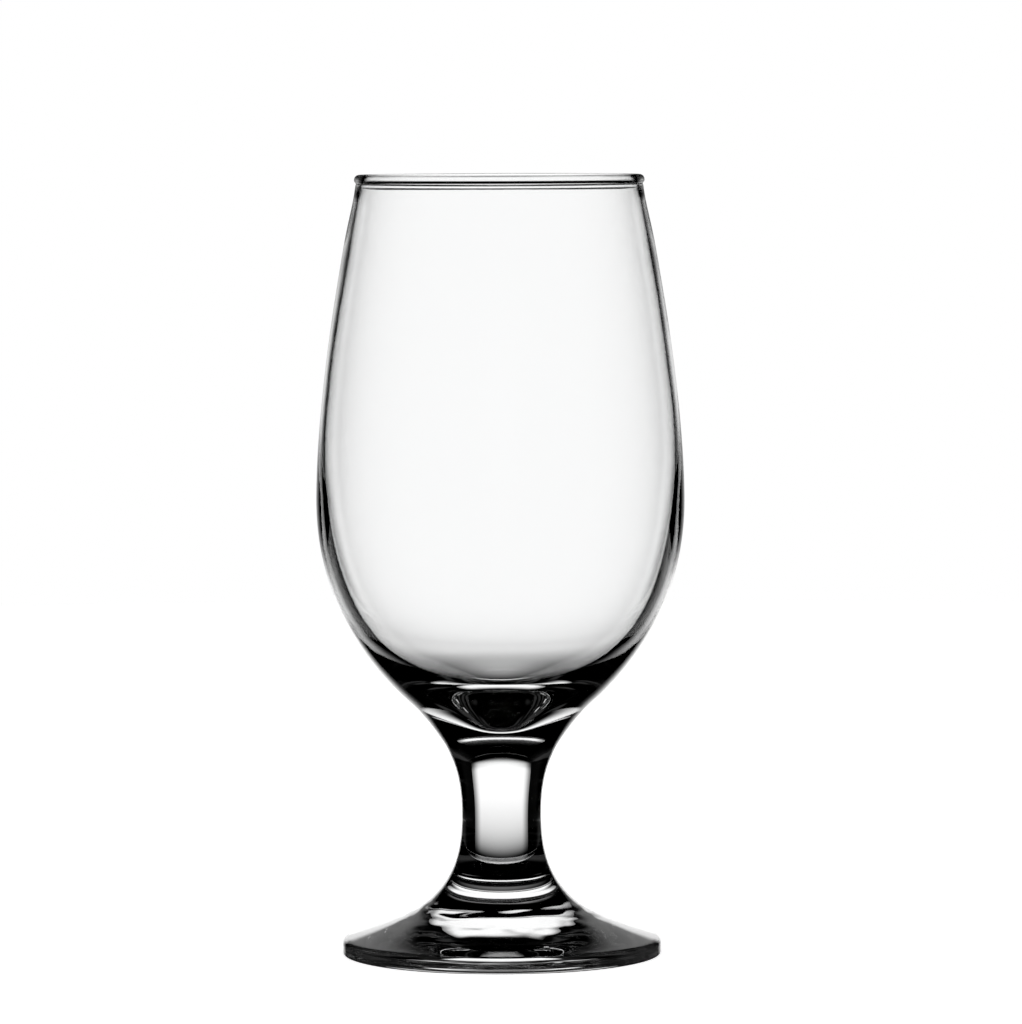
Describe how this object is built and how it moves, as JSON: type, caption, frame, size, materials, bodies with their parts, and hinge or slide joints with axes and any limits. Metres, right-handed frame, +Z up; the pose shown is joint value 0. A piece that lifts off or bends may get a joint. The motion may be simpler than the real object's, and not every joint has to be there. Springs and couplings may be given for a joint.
{
  "type": "beer glass",
  "caption": "Clear footed beer glass: tulip-shaped bowl with a beaded rim on a solid waisted stem and a round disc foot, for serving beer.",
  "frame": {"origin": "middle of the ring that the foot stands on, at table height", "axes": "+Z up along the glass's axis of turning; X and Y are any two level directions"},
  "size_m": [0.0826, 0.0826, 0.175],
  "materials": {
    "clear_glass": "clear, fire-polished"
  },
  "bodies": {
    "root": {"bowl": "clear_glass", "stem": "clear_glass", "foot": "clear_glass"}
  },
  "joints": []
}
